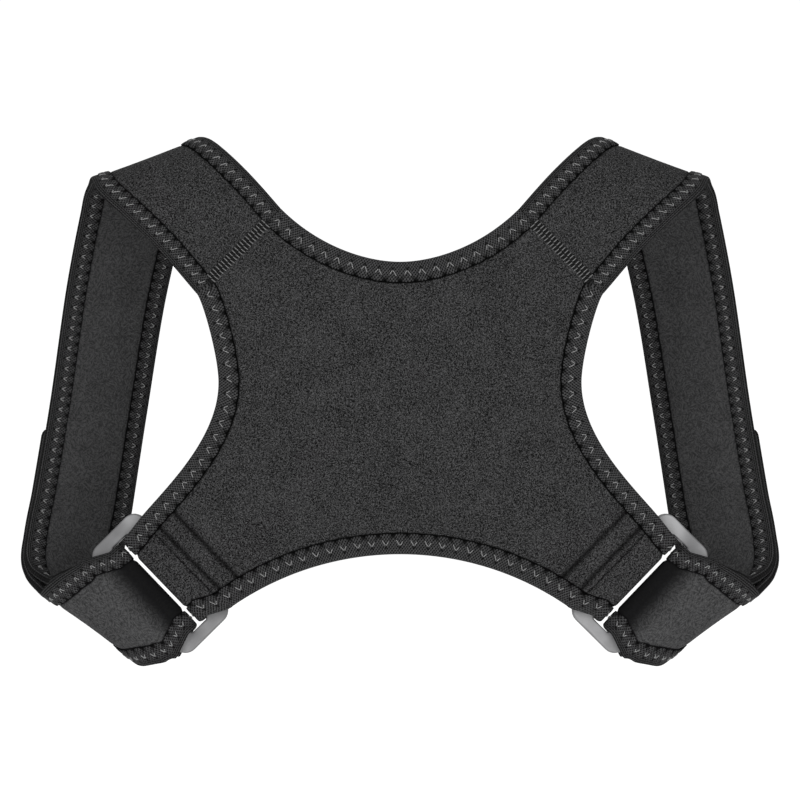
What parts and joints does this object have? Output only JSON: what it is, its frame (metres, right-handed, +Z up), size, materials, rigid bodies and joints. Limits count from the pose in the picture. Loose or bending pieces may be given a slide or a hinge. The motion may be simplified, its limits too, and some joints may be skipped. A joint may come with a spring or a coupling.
{
  "type": "posture corrector",
  "caption": "Cross-shaped neoprene back panel with bound edges and shoulder straps that loop under the arms and double back through slide rings.",
  "frame": {"origin": "middle of the back panel's body side, where it lies against the upper back", "axes": "+X towards the wearer's right, +Y towards the wearer and the front, +Z up"},
  "size_m": [0.4748, 0.115, 0.324],
  "materials": {
    "panel_neoprene": "short brushed loop fabric on foam neoprene",
    "strap_neoprene": "loop fabric outside, smooth jersey on the body side",
    "binding_tape": "ribbed woven tape with zigzag stitching",
    "ring_plastic": "satin moulded",
    "hook_tape": "moulded hook tape"
  },
  "bodies": {
    "root": {"back_panel": "panel_neoprene", "neck_binding": "binding_tape", "bottom_binding": "binding_tape", "right_armhole_binding": "binding_tape", "left_armhole_binding": "binding_tape", "right_strap": "strap_neoprene", "right_strap_binding": "binding_tape", "right_ring": "ring_plastic", "right_hook_patch": "hook_tape", "left_strap": "strap_neoprene", "left_strap_binding": "binding_tape", "left_ring": "ring_plastic", "left_hook_patch": "hook_tape"}
  },
  "joints": []
}
